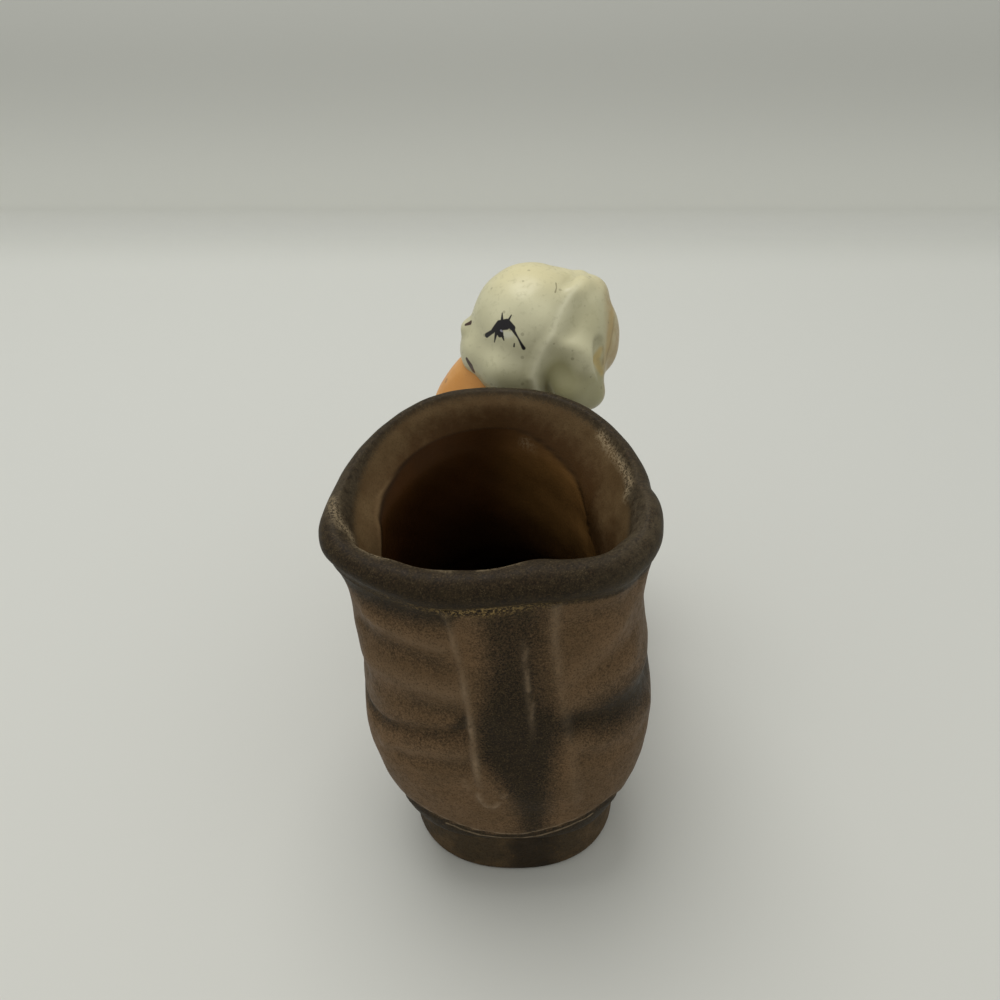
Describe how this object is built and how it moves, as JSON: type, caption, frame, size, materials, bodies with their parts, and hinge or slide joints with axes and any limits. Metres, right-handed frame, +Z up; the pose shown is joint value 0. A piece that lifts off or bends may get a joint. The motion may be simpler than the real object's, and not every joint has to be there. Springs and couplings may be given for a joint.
{
  "type": "toothpick holder",
  "caption": "Hand-painted ceramic toothpick holder shaped as a chubby pull-on boot with an open shaft, a rolled rim and a puppy sitting on its instep.",
  "frame": {"origin": "on the underside of the heel, below the middle of the boot's mouth", "axes": "+Z up out of the mouth, +Y from the heel towards the toe, the puppy faces -X"},
  "size_m": [0.0463, 0.0781, 0.0723],
  "materials": {
    "boot_brown": "matt airbrushed stain",
    "rim_umber": "matt airbrushed stain",
    "sole_umber": "matt airbrushed stain",
    "puppy_ivory": "satin",
    "puppy_tan": "satin"
  },
  "bodies": {
    "root": {"boot_upper": "boot_brown", "rim_roll": "rim_umber", "back_strap": "boot_brown", "heel_block": "sole_umber", "outsole": "sole_umber", "puppy_head": "puppy_ivory", "puppy_ear_near": "puppy_ivory", "puppy_ear_far": "puppy_ivory", "puppy_torso": "puppy_tan", "puppy_foreleg_near": "puppy_tan", "puppy_foreleg_far": "puppy_tan", "puppy_hind_leg_near": "puppy_tan", "puppy_hind_leg_far": "puppy_tan", "puppy_tail": "puppy_tan"}
  },
  "joints": []
}
